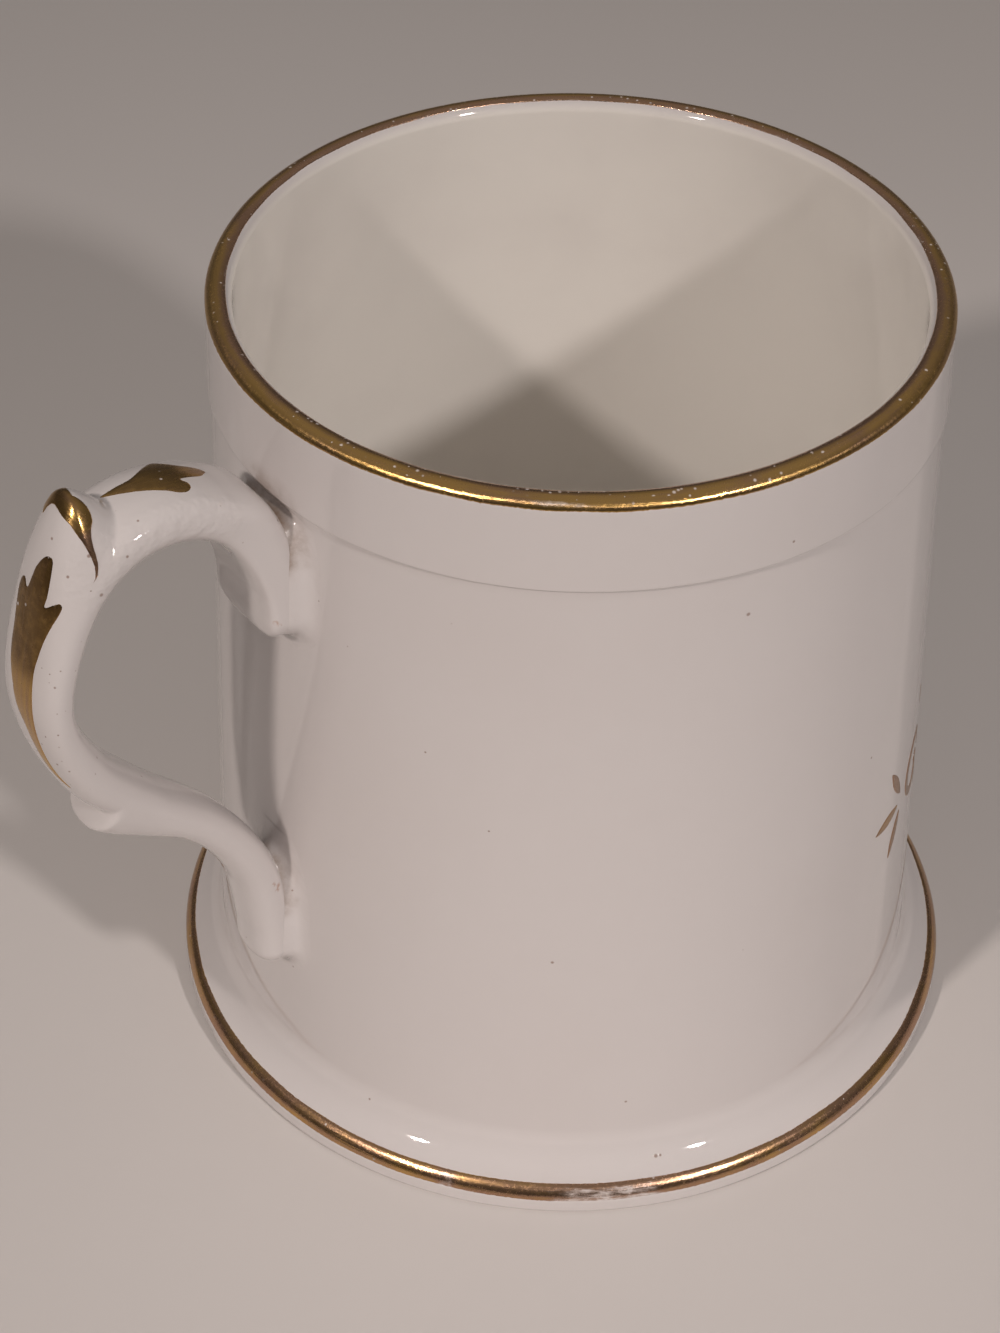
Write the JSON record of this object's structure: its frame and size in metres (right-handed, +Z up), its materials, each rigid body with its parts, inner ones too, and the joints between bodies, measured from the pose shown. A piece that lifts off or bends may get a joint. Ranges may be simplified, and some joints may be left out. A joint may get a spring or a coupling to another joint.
{
  "type": "christening mug",
  "caption": "Gilded porcelain mug with a collared lip, a gently spreading wall, a flared foot and a luted scroll handle with a thumb crest; it holds a drink and stands on its foot ring.",
  "frame": {"origin": "on the axis of the cup, in the plane of the foot ring that the mug stands on", "axes": "+Z up along the axis of the cup, -X towards the handle, +Y completing a right-handed frame"},
  "size_m": [0.11, 0.089, 0.0901],
  "materials": {
    "porcelain": "clear gloss glaze over white porcelain",
    "slip": "joining slip under the same gloss glaze",
    "gilding": "burnished gold, rubbed thin on the edges"
  },
  "bodies": {
    "root": {"cup_body": "porcelain", "handle": "porcelain", "upper_slip_joint": "slip", "lower_slip_joint": "slip", "rim_gilding": "gilding", "foot_gilding": "gilding", "crest_gilding": "gilding", "upper_leaf_gilding": "gilding", "lower_leaf_gilding": "gilding", "wall_scroll_gilding": "gilding", "wall_leaf_gilding": "gilding"}
  },
  "joints": []
}
